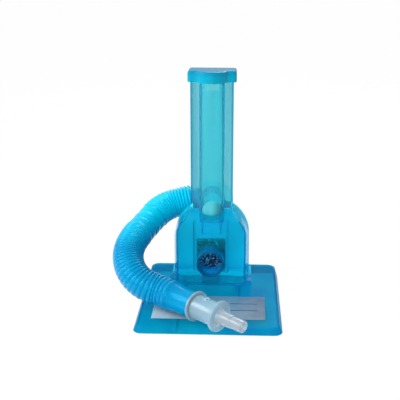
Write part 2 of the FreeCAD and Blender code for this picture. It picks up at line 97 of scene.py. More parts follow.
# Mouthpiece, along its own axis from the middle of its rear flange; its heading and slope are in degrees
MOUTH_PLACE = Vector((-9.0, -50.8, 18.3)) * MM
MOUTH_HEADING = -40.0
MOUTH_SLOPE = -2.0
FLANGE_RADIUS = 12.1 * MM
FLANGE_THICK = 2.4 * MM
SEAM_GAP = 0.05 * MM
BARREL_RADIUS = 9.2 * MM
BARREL_LENGTH = 22.0 * MM
BARREL_BORE = 7.7 * MM
SPIGOT_RADIUS = 9.45 * MM
SPIGOT_LENGTH = 15.0 * MM
LIP_THICK = 3.0 * MM
NOZZLE_ROOT = 5.45 * MM
NOZZLE_FLARE = 6.8 * MM
NOZZLE_FLARE_LENGTH = 2.5 * MM
NOZZLE_STEP = 5.1 * MM
NOZZLE_STEP_LENGTH = 0.3 * MM
NOZZLE_TIP = 4.6 * MM
NOZZLE_PLUG = 4.8 * MM
NOZZLE_BORE = 3.3 * MM
NOZZLE_ROOT_LENGTH = 12.0 * MM
NOZZLE_TIP_LENGTH = 11.0 * MM
NUB_AT = 9.7 * MM
NUB_LENGTH = 4.5 * MM
NUB_WIDTH = 4.0 * MM
NUB_HEIGHT = 1.5 * MM
NUB_SINK = 0.5 * MM

# Mouthpiece: how far its corners are rounded, how finely it is drawn, and the most of a side that one
# rounding takes
FLANGE_ROUND = 0.8 * MM
LIP_ROUND = 1.0 * MM
BARREL_ROUND = 0.6 * MM
BORE_ROUND = 0.4 * MM
END_ROUND = 0.3 * MM
NOZZLE_ROUND = 0.4 * MM
PLUG_ROUND = 0.2 * MM
FLARE_ROUND = 0.1 * MM
FLARE_SWEEP = 3.0 * MM
NUB_ROUND = 0.6 * MM
NUB_SEGMENTS = 4
TURNED_SIDES = 96
ROUNDING_STEPS = 5
SIDE_TO_ROUND = 0.49

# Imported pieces: points closer than this are one point, every face is drawn back this far so that no two
# pieces share a plane, and an edge sharper than this angle, in degrees, is rounded by this many strips
WELD_WITHIN = 0.002 * MM
FACE_GAP = 0.03 * MM
EDGE_ANGLE = 35.0
EDGE_STRIPS = 3

# New pieces: edges flatter than this, in degrees, are shaded smooth
SMOOTH_ANGLE = 40.0

# Cap: the rounding of its upper edge in the solid, and in the photograph
SOLID_CAP_ROUND = 1.2 * MM
CAP_ROUND = 2.3 * MM

# Foam: the step between points of its front face, the size of its pores, and their depth
FOAM_STEP = 0.35 * MM
PORE_SIZE = 1.9 * MM
PORE_DEPTH = 1.2 * MM

# Foam's colour: the share of a pore's depth where the painted highlight on a strut is full and where it is
# gone, the glints of painted highlight on the struts, the foam's own dark colour, and the glints' colour
GLINT_FULL_DEPTH = 0.05
GLINT_GONE_DEPTH = 0.35
GLINT_CELLS = 700.0
GLINT_SPREAD = (-1.6, 1.6)
FOAM_COLOUR = (0.001, 0.012, 0.045)
PAINTED_GLINT_COLOUR = (0.12, 0.4, 0.54)

# Label card: its ruled lines by their Y, by the middle and half length in X, and by their half width
LINE_ROWS = (-20.0 * MM, -31.5 * MM)
LINE_SPANS = ((27.5 * MM, 11.0 * MM), (-18.0 * MM, 20.0 * MM))
LINE_HALF = 0.75 * MM
LINE_COLOUR = (0.01, 0.045, 0.2)
# Label card: painted shade, from its lit colour on the left to its shaded colour on the right, spread over
# this far either side of its middle; then its random tone, and its surface grain
CARD_LIT_LEFT = (0.38, 0.51, 0.58)
CARD_SHADED_RIGHT = (0.07, 0.15, 0.25)
CARD_SHADE_HALF_WIDTH = 45.0 * MM
CARD_WEAR = 0.1
CARD_CELLS = 120.0
GRAIN_CELLS = 2500.0
GRAIN_HEIGHT = 0.02 * MM

# Plastic: where its colour changes, as an axis, the places where that starts and ends, and the other colour.
# The front shell's paler roof top, the rear shell's paler foot and the hose's brighter upper stretch are
# painted light
BACK_TINT = (0.7, 0.985, 0.99)
CHANNEL_FADE = ("Y", 16.0 * MM, 28.0 * MM, BACK_TINT)
COLUMN_FADE = ("Y", 24.0 * MM, 34.0 * MM, BACK_TINT)
# Painted light: the front shell turns paler at its roof top
ROOF_PAINTED_LIGHT = ("Z", 68.0 * MM, 70.5 * MM, (0.05, 0.84, 0.87))
# Painted light: the rear shell turns paler towards its foot
REAR_PAINTED_LIGHT = ("Z", 50.0 * MM, 15.0 * MM, (0.06, 0.84, 0.93))
CAP_FADE = ("Z", 186.0 * MM, 189.5 * MM, (0.002, 0.33, 0.54))
# Painted light: the hose turns brighter on its upper stretch
HOSE_PAINTED_LIGHT = ("Z", 52.0 * MM, 70.0 * MM, (0.0, 0.56, 0.8))

# Plastic: the clouds in it and the vertical streaks of painted highlight on the clear column, in cells per
# metre, and how much deeper their tint is
NOISE_RANGE = (0.3, 0.7)
CLOUD_CELLS = 40.0
CLOUD_DEEP = 0.94
HIGHLIGHT_STREAK_CELLS = 220.0
HIGHLIGHT_STREAK_STRETCH = (1.0, 1.0, 0.04)
HIGHLIGHT_STREAK_DEEP = 0.8
CLEAR_ROUGH_CELLS = 90.0
CLEAR_ROUGH_SPREAD = (0.8, 1.25)
MOULDED_ROUGH_CELLS = 120.0
MOULDED_ROUGH_SPREAD = (0.85, 1.15)

# Plastic: its refraction where clear and where solid, the white in its shine and in the light that a lamp
# sends through it, the skin and sheen of a frosted piece, and how deep light enters a solid one
CLEAR_IOR = 1.15
MOULDED_IOR = 1.4
SHINE_WHITE = 0.2
LAMP_THROUGH = 0.85
SKIN_ROUGH = 0.2
SHEEN_ROUGH = 0.3
GLOW_DEPTH = 1.5 * MM
GLOW_REACH = (0.3, 1.0, 1.0)

# Light: the sky's bright side, where its strength starts to rise and where it is full, its strengths there,
# and how far each kind of ray sees plain white instead
SKY_TOWARDS = (-0.35, 0.0, 0.94)
SKY_FADE = (-0.6, 1.0)
SKY_STRENGTH = (0.15, 0.9)
SKY_SEEN = {"Is Camera Ray": 1.0, "Is Transmission Ray": 1.0, "Is Glossy Ray": 0.3}
FLOOR_SEEN = {"Is Camera Ray": 0.97, "Is Transmission Ray": 0.5, "Is Glossy Ray": 0.3}
FLOOR_SIZE = 30.0
FLOOR_COLOUR = (0.9, 0.9, 0.9)
LIGHT_BOUNCES = 32

# Lamps: what they look at, and for each its place, its width and its power in watts
LAMP_TARGET = Vector((0.0, 0.0, 0.08))
KEY_LAMP = ((-0.6, -0.15, 0.45), 0.4, 3.0)
FILL_LAMP = ((-0.3, -1.0, 0.4), 0.6, 4.0)
RIM_LAMP = ((0.2, 0.9, 0.8), 0.6, 4.0)


# Node helpers

def new_material(name):
    """An empty node material with its output node."""
    material = bpy.data.materials.new(name)
    material.use_nodes = True
    material.node_tree.nodes.clear()
    return material, material.node_tree.nodes.new("ShaderNodeOutputMaterial")


def feed(material, socket, value):
    """Give an input what it takes: another node's output, a colour or a number."""
    if isinstance(value, bpy.types.NodeSocket):
        material.node_tree.links.new(value, socket)
    elif socket.type == "RGBA":
        socket.default_value = (*value, 1.0)
    else:
        socket.default_value = value


def node(material, kind, **values):
    """A new node; a value is a property of the node, or else feeds the input of that name."""
    made = material.node_tree.nodes.new("ShaderNode" + kind)
    for name, value in values.items():
        if hasattr(made, name):
            setattr(made, name, value)
        else:
            feed(material, made.inputs[name.replace("_", " ")], value)
    return made


def place_of(material):
    """The place on the piece, in metres, which moves with it."""
    return node(material, "TexCoord").outputs["Object"]


def along(material, axis):
    """The place on the piece along one axis."""
    return node(material, "SeparateXYZ", Vector=place_of(material)).outputs[axis]


def noise(material, cells, detail=3.0, stretch=(1.0, 1.0, 1.0)):
    """Noise over the piece, with a number of cells per metre."""
    place = node(material, "Mapping", Vector=place_of(material), Scale=stretch).outputs["Vector"]
    return node(material, "TexNoise", Vector=place, Scale=cells, Detail=detail).outputs["Fac"]


def ramp(material, value, first, last, low=0.0, high=1.0):
    """A value that goes from low to high as another one goes from first to last."""
    made = node(material, "MapRange", Value=value, From_Min=first, From_Max=last, To_Min=low, To_Max=high)
    return made.outputs["Result"]


def spread(material, factor, low, high):
    """Noise taken to the range from low to high."""
    return ramp(material, factor, *NOISE_RANGE, low, high)


def blend(material, factor, first, second):
    """A mix of two colours."""
    return node(material, "Mix", data_type="RGBA", Factor=factor, A=first, B=second).outputs["Result"]


def reckon(material, operation, *values, clamped=False):
    """The result of a sum on outputs and numbers."""
    made = node(material, "Math", operation=operation, use_clamp=clamped)
    for socket, value in zip(made.inputs, values):
        feed(material, socket, value)
    return made.outputs["Value"]


def largest(material, factors):
    """The largest of several factors."""
    most = factors[0]
    for factor in factors[1:]:
        most = reckon(material, "MAXIMUM", most, factor)
    return most


def mix_shaders(material, factor, first, second):
    """A mix of two shaders."""
    mix = node(material, "MixShader", Fac=factor)
    feed(material, mix.inputs[1], first.outputs[0])
    feed(material, mix.inputs[2], second.outputs[0])
    return mix.outputs["Shader"]


def whitened(tint, share):
    """A tint with a share of white in it."""
    return [share + (1 - share) * part for part in tint]


# Materials

def clouded_and_streaked(material, clouds_and_streaks, colour, deep, fade):
    """A colour with deeper clouds in it, or on the clear column vertical streaks of painted highlight. With
    fade, it turns into another one along an axis; on the roof, the rear shell and the hose that is painted
    light.
    """
    mixed = blend(material, spread(material, clouds_and_streaks, 0.0, 1.0), colour, deep)
    if not fade:
        return mixed
    axis, first, last, other = fade
    return blend(material, ramp(material, along(material, axis), first, last), mixed, other)


def uneven(material, rough, cells, shares):
    """A roughness that wavers between two shares of itself."""
    return spread(material, noise(material, cells), rough * shares[0], rough * shares[1])


def tinted_plastic(name, tint, absorbed, clear, rough, ior=CLEAR_IOR, highlight_streaks=False, fade=None, deep=None,
                   frost=0.0):
    """Moulded see-through plastic, which lamps reach through. Tint is what one wall passes, absorbed is what
    each metre takes away on top of that, and clear is the share of the light that goes through. Deep is the
    tint of its clouds, or of its vertical streaks of painted highlight where those are asked for; fade is a
    change of its tint along an axis, painted light on the roof and the rear shell; and frost is the strength
    of its milky sheen and smooth skin."""
    material, output = new_material(name)
    # Vertical streaks of painted highlight for the clear column, and random clouds elsewhere.
    if highlight_streaks:
        clouds_and_streaks = noise(material, HIGHLIGHT_STREAK_CELLS, stretch=HIGHLIGHT_STREAK_STRETCH)
    else:
        clouds_and_streaks = noise(material, CLOUD_CELLS)
    deep = deep or [part * (HIGHLIGHT_STREAK_DEEP if highlight_streaks else CLOUD_DEEP) for part in tint]
    shader = node(material, "BsdfPrincipled", IOR=ior, Transmission_Weight=clear,
                  Base_Color=clouded_and_streaked(material, clouds_and_streaks, tint, deep, fade),
                  Roughness=uneven(material, rough, CLEAR_ROUGH_CELLS, CLEAR_ROUGH_SPREAD),
                  Specular_Tint=whitened(tint, SHINE_WHITE), Sheen_Weight=frost, Sheen_Roughness=SHEEN_ROUGH,
                  Coat_Weight=frost, Coat_Roughness=SKIN_ROUGH)
    passed = node(material, "BsdfTransparent", Color=whitened(tint, LAMP_THROUGH))
    shadow = node(material, "LightPath").outputs["Is Shadow Ray"]
    feed(material, output.inputs["Surface"], mix_shaders(material, shadow, shader, passed))
    if absorbed:
        most = max(absorbed)
        kept = [1 - part / most for part in absorbed]
        volume = node(material, "VolumeAbsorption", Density=most, Color=kept)
        feed(material, output.inputs["Volume"], volume.outputs["Volume"])
    return material


def moulded_plastic(name, colour, deep, rough, glow, shine, fade=None):
    """Moulded plastic that light enters a little way, with a tinted shine."""
    material, output = new_material(name)
    shader = node(material, "BsdfPrincipled", IOR=MOULDED_IOR, Specular_Tint=shine, Subsurface_Weight=glow,
                  Subsurface_Radius=GLOW_REACH, Subsurface_Scale=GLOW_DEPTH,
                  Base_Color=clouded_and_streaked(material, noise(material, CLOUD_CELLS), colour, deep, fade),
                  Roughness=uneven(material, rough, MOULDED_ROUGH_CELLS, MOULDED_ROUGH_SPREAD))
    feed(material, output.inputs["Surface"], shader.outputs["BSDF"])
    return material


def foam_material():
    """Dark open-cell foam with painted highlights: pale glints on the struts between its pores."""
    material, output = new_material("open_cell_foam")
    depth = node(material, "Attribute", attribute_name="pore").outputs["Fac"]
    # Painted highlight: pale glints, only on the struts at the front of the pores.
    glint = spread(material, noise(material, GLINT_CELLS, detail=1.0), *GLINT_SPREAD)
    glint_share = reckon(material, "MULTIPLY", ramp(material, depth, GLINT_GONE_DEPTH, GLINT_FULL_DEPTH), glint, clamped=True)
    shader = node(material, "BsdfPrincipled", Roughness=0.35, Specular_IOR_Level=0.15,
                  Base_Color=blend(material, glint_share, FOAM_COLOUR, PAINTED_GLINT_COLOUR))
    feed(material, output.inputs["Surface"], shader.outputs["BSDF"])
    return material


def ruled_lines(material):
    """1 on the card's lines, and 0 beside them."""
    across, down = along(material, "X"), along(material, "Y")
    lines = []
    for row in LINE_ROWS:
        for middle, half in LINE_SPANS:
            in_row = reckon(material, "COMPARE", down, row, LINE_HALF)
            in_span = reckon(material, "COMPARE", across, middle, half)
            lines.append(reckon(material, "MULTIPLY", in_row, in_span))
    return largest(material, lines)


def label_material():
    """Pale card with plain ruled lines to write on, under painted shade that darkens it from its left side to
    its right.
    """
    material, output = new_material("ruled_card")
    # Painted shade: the card darkens from left to right along X, and its random tone shifts that a little.
    across = ramp(material, along(material, "X"), -CARD_SHADE_HALF_WIDTH, CARD_SHADE_HALF_WIDTH)
    wear = spread(material, noise(material, CARD_CELLS), -CARD_WEAR, CARD_WEAR)
    card = blend(material, reckon(material, "ADD", across, wear), CARD_LIT_LEFT, CARD_SHADED_RIGHT)
    grain = node(material, "Bump", Height=noise(material, GRAIN_CELLS), Strength=0.3, Distance=GRAIN_HEIGHT)
    shader = node(material, "BsdfPrincipled", Roughness=0.55, Normal=grain.outputs["Normal"],
                  Base_Color=blend(material, ruled_lines(material), card, LINE_COLOUR))
    feed(material, output.inputs["Surface"], shader.outputs["BSDF"])
    return material


# Mesh helpers

def new_piece(name, vertices, faces, material, smooth_angle=SMOOTH_ANGLE):
    """A mesh piece with one material, shaded smooth except at its sharp edges."""
    mesh = bpy.data.meshes.new(name)
    mesh.from_pydata(vertices, [], faces)
    mesh.validate()
    mesh.polygons.foreach_set("use_smooth", [True] * len(mesh.polygons))
    mesh.set_sharp_from_angle(angle=math.radians(smooth_angle))
    mesh.materials.append(material)
    piece = bpy.data.objects.new(name, mesh)
    bpy.context.scene.collection.objects.link(piece)
    return piece


def piece_of_shape(name, shape, matrix, material):
    """A piece from an editable shape, put in place by a matrix."""
    shape.verts.index_update()
    vertices = [matrix @ corner.co for corner in shape.verts]
    faces = [[corner.index for corner in face.verts] for face in shape.faces]
    shape.free()
    return new_piece(name, vertices, faces, material)


def soften(piece, material, edge):
    """Give a piece its finish, draw its faces back by a hair and round its edges."""
    piece.data.polygons.foreach_set("use_smooth", [True] * len(piece.data.polygons))
    piece.data.materials.clear()
    piece.data.materials.append(material)
    weld = piece.modifiers.new("weld", "WELD")
    weld.merge_threshold = WELD_WITHIN
    seam = piece.modifiers.new("seam", "DISPLACE")
    seam.strength = -FACE_GAP
    seam.mid_level = 0.0
    rounding = piece.modifiers.new("rounding", "BEVEL")
    rounding.width = edge
    rounding.segments = EDGE_STRIPS
    rounding.limit_method = "ANGLE"
    rounding.angle_limit = math.radians(EDGE_ANGLE)
    rounding.harden_normals = True
    return piece


def arc(enter, corner, leave):
    """Points of the curve that rounds a corner between two places on its sides."""
    points = []
    for step in range(ROUNDING_STEPS + 1):
        share = step / ROUNDING_STEPS
        points.append(enter * (1 - share) ** 2 + corner * 2 * share * (1 - share) + leave * share ** 2)
    return points


def rounded_profile(corners):
    """A closed outline from corners (radius from the axis, height, rounding), each rounded by an arc."""
    outline = []
    for index, (radius, height, rounding) in enumerate(corners):
        here = Vector((radius, height))
        if rounding <= 0:
            outline.append(here)
            continue
        before = Vector(corners[index - 1][:2]) - here
        after = Vector(corners[(index + 1) % len(corners)][:2]) - here
        half_turn = (math.pi - before.angle(after)) / 2
        cut = min(rounding * math.tan(half_turn), before.length * SIDE_TO_ROUND, after.length * SIDE_TO_ROUND)
        outline += arc(here + before.normalized() * cut, here, here + after.normalized() * cut)
    return outline


def turned_piece(name, corners, matrix, material):
    """A closed ring or tube turned about Z from an outline, then put in place."""
    outline = rounded_profile(corners)
    count = len(outline)
    vertices, faces = [], []
    for turn in range(TURNED_SIDES):
        angle = 2 * math.pi * turn / TURNED_SIDES
        here, ahead = turn * count, (turn + 1) % TURNED_SIDES * count
        for index, point in enumerate(outline):
            after = (index + 1) % count
            vertices.append(matrix @ Vector((point.x * math.cos(angle), point.x * math.sin(angle), point.y)))
            faces.append((here + index, ahead + index, ahead + after, here + after))
    return new_piece(name, vertices, faces, material)


# Cap

def level_edges(shape, level):
    """The ends of the edges that lie at one level, seen from above."""
    edges = []
    for edge in shape.edges:
        if all(abs(corner.co.z - level) < WELD_WITHIN for corner in edge.verts):
            edges.append([corner.co.to_2d() for corner in edge.verts])
    return edges


def nearest_on(outline, place):
    """The point of an outline, given as pairs of ends, that is nearest to a place."""
    points = []
    for start, end in outline:
        side = end - start
        share = min(max((place - start).dot(side) / side.length_squared, 0.0), 1.0)
        points.append(start + side * share)
    return min(points, key=lambda point: (point - place).length)


def cap_piece(material):
    """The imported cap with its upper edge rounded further, as far as its wall allows."""
    shape = bmesh.new()
    shape.from_mesh(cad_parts["top_cap"].data)
    bmesh.ops.remove_doubles(shape, verts=shape.verts[:], dist=WELD_WITHIN)
    top = max(corner.co.z for corner in shape.verts)
    start = top - SOLID_CAP_ROUND
    outline = level_edges(shape, start)
    growth = CAP_ROUND / SOLID_CAP_ROUND
    for corner in shape.verts:
        if corner.co.z < start - WELD_WITHIN:
            continue
        here = corner.co.to_2d()
        foot = nearest_on(outline, here)
        moved = foot + (here - foot) * growth
        corner.co = (moved.x, moved.y, top - (top - corner.co.z) * growth)
    flat = [face for face in shape.faces if all(corner.co.z > top - WELD_WITHIN for corner in face.verts)]
    bmesh.ops.dissolve_faces(shape, faces=flat)
    return soften(piece_of_shape("rounded_cap", shape, Matrix.Identity(4), material), material, END_ROUND)


# Foam

def pored_face(low, high, across, up):
    """Rows of points over the foam's front face, and how deep each one is in its pore."""
    width, height = high.x - low.x, high.z - low.z
    vertices, depths = [], []
    for row in range(up + 1):
        for column in range(across + 1):
            place = Vector((low.x + width * column / across, low.y, low.z + height * row / up))
            nearest, second = rough_field.voronoi(place / PORE_SIZE)[0][:2]
            depths.append(min(second - nearest, 1.0))
            vertices.append(place + Vector((0, PORE_DEPTH * depths[-1], 0)))
    return vertices, depths


def foam_piece(material):
    """The foam block, with open pores in its front face."""
    low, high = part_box("foam_filter")
    across = round((high.x - low.x) / FOAM_STEP)
    up = round((high.z - low.z) / FOAM_STEP)
    vertices, depths = pored_face(low, high, across, up)
    wide = across + 1
    faces = []
    for row in range(up):
        for corner in range(row * wide, row * wide + across):
            faces.append((corner, corner + 1, corner + wide + 1, corner + wide))
    rim = list(range(across)) + [row * wide + across for row in range(up)]
    rim += [up * wide + column for column in range(across, 0, -1)] + [row * wide for row in range(up, 0, -1)]
    first = len(vertices)
    for step, index in enumerate(rim):
        ahead = (step + 1) % len(rim)
        vertices.append(Vector((vertices[index].x, high.y, vertices[index].z)))
        depths.append(0.0)
        faces.append((rim[ahead], index, first + step, first + ahead))
    faces.append([first + step for step in reversed(range(len(rim)))])
    piece = new_piece("pored_foam", vertices, faces, material)
    piece.data.attributes.new("pore", "FLOAT", "POINT").data.foreach_set("value", depths)
    return piece


# Hose

def mouth_axis():
    """The way the mouthpiece points."""
    heading, slope = math.radians(MOUTH_HEADING), math.radians(MOUTH_SLOPE)
    return Vector((math.cos(heading) * math.cos(slope), math.sin(heading) * math.cos(slope), math.sin(slope)))


def hose_route():
    """Control points of the hose's centre line, from the elbow to the mouthpiece's flange."""
    droop = math.radians(ELBOW_DROOP)
    leave = Vector((-math.cos(droop), 0, -math.sin(droop)))
    flange_back = MOUTH_PLACE - mouth_axis() * (FLANGE_THICK / 2 + SEAM_GAP)
    return [
        ELBOW_CORNER + leave * HOSE_START,
        ELBOW_CORNER + leave * (HOSE_START + HOSE_START_RUN),
        Vector((-45.5, 43.0, 67.0)) * MM,
        Vector((-55.5, 26.0, 58.5)) * MM,
        Vector((-65.5, 5.5, 51.5)) * MM,
        Vector((-68.5, -7.0, 42.5)) * MM,
        Vector((-64.0, -18.5, 32.5)) * MM,
        Vector((-52.5, -25.5, 24.0)) * MM,
        flange_back - mouth_axis() * HOSE_END_RUN,
        flange_back,
    ]


def smooth_line(points):
    """Points along the smooth curve that the control points give."""
    curve = bpy.data.curves.new("hose_line", "CURVE")
    curve.dimensions = "3D"
    curve.resolution_u = LINE_STEPS
    spline = curve.splines.new("NURBS")
    spline.points.add(len(points) - 1)
    for control, point in zip(spline.points, points):
        control.co = (*point, 1.0)
    spline.order_u = 3
    spline.use_endpoint_u = True
    holder = bpy.data.objects.new("hose_line", curve)
    mesh = bpy.data.meshes.new_from_object(holder)
    line = [vertex.co.copy() for vertex in mesh.vertices]
    bpy.data.objects.remove(holder)
    bpy.data.curves.remove(curve)
    bpy.data.meshes.remove(mesh)
    return line


class Path:
    """Distances, tangents and steady side directions along a line of points."""

    def __init__(self, line):
        self.line = line
        runs = [after - before for before, after in zip(line, line[1:])]
        self.at = [0.0]
        for run in runs:
            self.at.append(self.at[-1] + run.length)
        onward = [run.normalized() for run in runs + runs[-1:]]
        self.tangents = [((a + b) / 2).normalized() for a, b in zip(onward[:1] + onward, onward)]
        side = self.tangents[0].cross(Vector((0, 0, 1))).normalized()
        self.sides = []
        for tangent in self.tangents:
            side = (side - tangent * side.dot(tangent)).normalized()
            self.sides.append(side)

    def length(self):
        """The whole length of the line."""
        return self.at[-1]

    def frame_at(self, distance):
        """Place, tangent and side at a distance along the line."""
        distance = min(max(distance, 0.0), self.length())
        index = 0
        while index < len(self.at) - 2 and self.at[index + 1] < distance:
            index += 1
        share = (distance - self.at[index]) / (self.at[index + 1] - self.at[index])
        place = self.line[index].lerp(self.line[index + 1], share)
        tangent = self.tangents[index].lerp(self.tangents[index + 1], share).normalized()
        side = self.sides[index].lerp(self.sides[index + 1], share)
        side = (side - tangent * side.dot(tangent)).normalized()
        return place, tangent, side


def rib_ends(start, end, ribs, even, growth):
    """Where each rib starts, and the stretch's end. The first ribs are even, and the last is growth times
    as long."""
    weights = [1 + (growth - 1) * max(index - even, 0) / max(ribs - 1 - even, 1) for index in range(ribs)]
    places = [start]
    for weight in weights:
        places.append(places[-1] + (end - start) * weight / sum(weights))
    return places


def ribbed(places, crest, depths, sharpness):
    """Distances and radii along a corrugated stretch: broad round crests and narrow valleys."""
    rings = []
    count = len(places) - 1
    for index, (start, end) in enumerate(zip(places, places[1:])):
        depth = depths[0] + (depths[1] - depths[0]) * index / max(count - 1, 1)
        for step in range(RINGS_PER_RIB):
            share = step / RINGS_PER_RIB
            height = math.sin(math.pi * share) ** sharpness
            rings.append((start + (end - start) * share, crest - depth * (1 - height)))
    return rings


def hose_rings(total):
    """Distances and outer radii from the hose's start to its end."""
    places = (UPPER_START, MIDDLE_START, LOWER_START, FRONT_CUFF_START)
    upper, middle, lower, front = [place * (total / HOSE_LENGTH) for place in places]
    upper_ribs = rib_ends(upper, middle, UPPER_RIBS, UPPER_RIBS, 1.0)
    bulges = rib_ends(middle, lower, MID_BULGES, MID_BULGES, 1.0)
    lower_ribs = rib_ends(lower, front, LOWER_RIBS, TIGHT_RIBS, RIB_GROWTH)
    rings = [(0.0, END_CUFF_RADIUS), (upper - END_STEP, END_CUFF_RADIUS)]
    rings += ribbed(upper_ribs, HOSE_RADIUS, UPPER_DEPTHS, RIB_SHARPNESS)
    rings += ribbed(bulges, MID_CUFF_RADIUS, MID_DEPTHS, BULGE_SHARPNESS)
    rings += ribbed(lower_ribs, HOSE_RADIUS, LOWER_DEPTHS, RIB_SHARPNESS)
    rings += [(front, HOSE_RADIUS - LOWER_DEPTHS[1]), (front + END_STEP, FRONT_CUFF_RADIUS)]
    rings += [(front + FRONT_CUFF_TAPER, END_CUFF_RADIUS), (total, END_CUFF_RADIUS)]
    return rings


def hose_piece(path, material):
    """The whole hose as one tube with a wall, corrugated between its smooth cuffs."""
    outer = hose_rings(path.length())
    loop = outer + [(distance, radius - HOSE_WALL) for distance, radius in reversed(outer)]
    vertices, faces = [], []
    for ring, (distance, radius) in enumerate(loop):
        place, tangent, side = path.frame_at(distance)
        upright = tangent.cross(side)
        here, ahead = ring * HOSE_SIDES, (ring + 1) % len(loop) * HOSE_SIDES
        for turn in range(HOSE_SIDES):
            angle = 2 * math.pi * turn / HOSE_SIDES
            after = (turn + 1) % HOSE_SIDES
            vertices.append(place + (side * math.cos(angle) + upright * math.sin(angle)) * radius)
            faces.append((here + turn, here + after, ahead + after, ahead + turn))
    return new_piece("corrugated_hose", vertices, faces, material, HOSE_SMOOTH_ANGLE)


# Mouthpiece

def mouth_matrix():
    """The matrix that puts Z along the mouthpiece at its place, with +Y kept up."""
    axis = mouth_axis()
    side = Vector((0, 0, 1)).cross(axis).normalized()
    turn = Matrix((side, axis.cross(side), axis)).transposed().to_4x4()
    return Matrix.Translation(MOUTH_PLACE) @ turn


def adapter_piece(material):
    """Spigot, rear flange, barrel and front flange, turned as one ring."""
    back, front = -FLANGE_THICK / 2, FLANGE_THICK / 2
    lip, end = BARREL_LENGTH, BARREL_LENGTH + LIP_THICK
    socket = NOZZLE_PLUG + SEAM_GAP
    corners = [
        (SPIGOT_RADIUS, -SPIGOT_LENGTH, END_ROUND),
        (SPIGOT_RADIUS, back, 0.0),
        (FLANGE_RADIUS, back, FLANGE_ROUND),
        (FLANGE_RADIUS, front, FLANGE_ROUND),
        (BARREL_RADIUS, front, BARREL_ROUND),
        (BARREL_RADIUS, lip, BARREL_ROUND),
        (FLANGE_RADIUS, lip, LIP_ROUND),
        (FLANGE_RADIUS, end, LIP_ROUND),
        (socket, end, END_ROUND),
        (socket, lip, 0.0),
        (BARREL_BORE, lip, BORE_ROUND),
        (BARREL_BORE, -SPIGOT_LENGTH, END_ROUND),
    ]
    return turned_piece("mouthpiece_barrel", corners, mouth_matrix(), material)


def nub_piece(material):
    """The small rounded block that stands on the barrel between the flanges."""
    low = Vector((-NUB_WIDTH / 2, BARREL_BORE + NUB_SINK, NUB_AT - NUB_LENGTH / 2))
    high = Vector((NUB_WIDTH / 2, BARREL_RADIUS + NUB_HEIGHT, NUB_AT + NUB_LENGTH / 2))
    block = bmesh.new()
    bmesh.ops.create_cube(block, size=1.0)
    for corner in block.verts:
        corner.co = Vector([a + (b - a) * (share + 0.5) for a, b, share in zip(low, high, corner.co)])
    bmesh.ops.bevel(block, geom=block.edges[:], offset=NUB_ROUND, segments=NUB_SEGMENTS, affect="EDGES",
                    profile=0.5)
    return piece_of_shape("barrel_nub", block, mouth_matrix(), material)


def nozzle_piece(material):
    """The stepped nozzle, turned as one tube."""
    start = BARREL_LENGTH + LIP_THICK
    step = start + NOZZLE_ROOT_LENGTH
    end = step + NOZZLE_TIP_LENGTH
    corners = [
        (NOZZLE_PLUG, BARREL_LENGTH, PLUG_ROUND),
        (NOZZLE_PLUG, start + SEAM_GAP, 0.0),
        (NOZZLE_FLARE, start + SEAM_GAP, FLARE_ROUND),
        (NOZZLE_ROOT, start + NOZZLE_FLARE_LENGTH, FLARE_SWEEP),
        (NOZZLE_STEP, step, NOZZLE_ROUND),
        (NOZZLE_TIP, step + NOZZLE_STEP_LENGTH, END_ROUND),
        (NOZZLE_TIP, end, NOZZLE_ROUND),
        (NOZZLE_BORE, end, NOZZLE_ROUND),
        (NOZZLE_BORE, BARREL_LENGTH, PLUG_ROUND),
    ]
    return turned_piece("mouthpiece_tip", corners, mouth_matrix(), material)


# Finishes

def dress(material, *names, edge):
    """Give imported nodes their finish, and round their edges."""
    for name in names:
        soften(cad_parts[name], material, edge)


def dress_base():
    """The base and the label card on it."""
    base = tinted_plastic("base_plastic", tint=(0.004, 0.42, 0.57), deep=(0.003, 0.3, 0.52),
                          absorbed=(300, 50, 20), clear=0.8, rough=0.2, ior=1.05)
    dress(base, "base_plate", edge=0.35 * MM)
    dress(label_material(), "label_card", edge=0.1 * MM)


def dress_housing():
    """The housing's two shells and the inlet port."""
    # Painted light: the front shell is paler at its roof top and the rear shell paler towards its foot.
    front = tinted_plastic("front_shell_plastic", tint=(0.05, 0.82, 0.85), absorbed=(300, 42, 10),
                           clear=0.94, rough=0.14, ior=1.1, fade=ROOF_PAINTED_LIGHT)
    rear = tinted_plastic("rear_shell_plastic", tint=(0.01, 0.64, 0.75), absorbed=(300, 42, 10),
                          clear=0.55, rough=0.4, ior=1.1, fade=REAR_PAINTED_LIGHT)
    port = tinted_plastic("port_plastic", tint=(0.02, 0.63, 0.9), absorbed=(400, 140, 50),
                          clear=0.88, rough=0.1)
    dress(front, "housing_front", edge=0.7 * MM)
    dress(rear, "housing_rear", edge=0.7 * MM)
    dress(port, "inlet_port", edge=0.4 * MM)


def dress_inside():
    """The small pieces inside the housing and the column."""
    inner = tinted_plastic("inner_plastic", tint=(0.4, 0.92, 0.97), absorbed=(300, 75, 8),
                           clear=0.93, rough=0.08, ior=1.06)
    dress(inner, "filter_retainer", "partition_plate", "inlet_duct", "ball_seat", "ball_stop", edge=0.2 * MM)


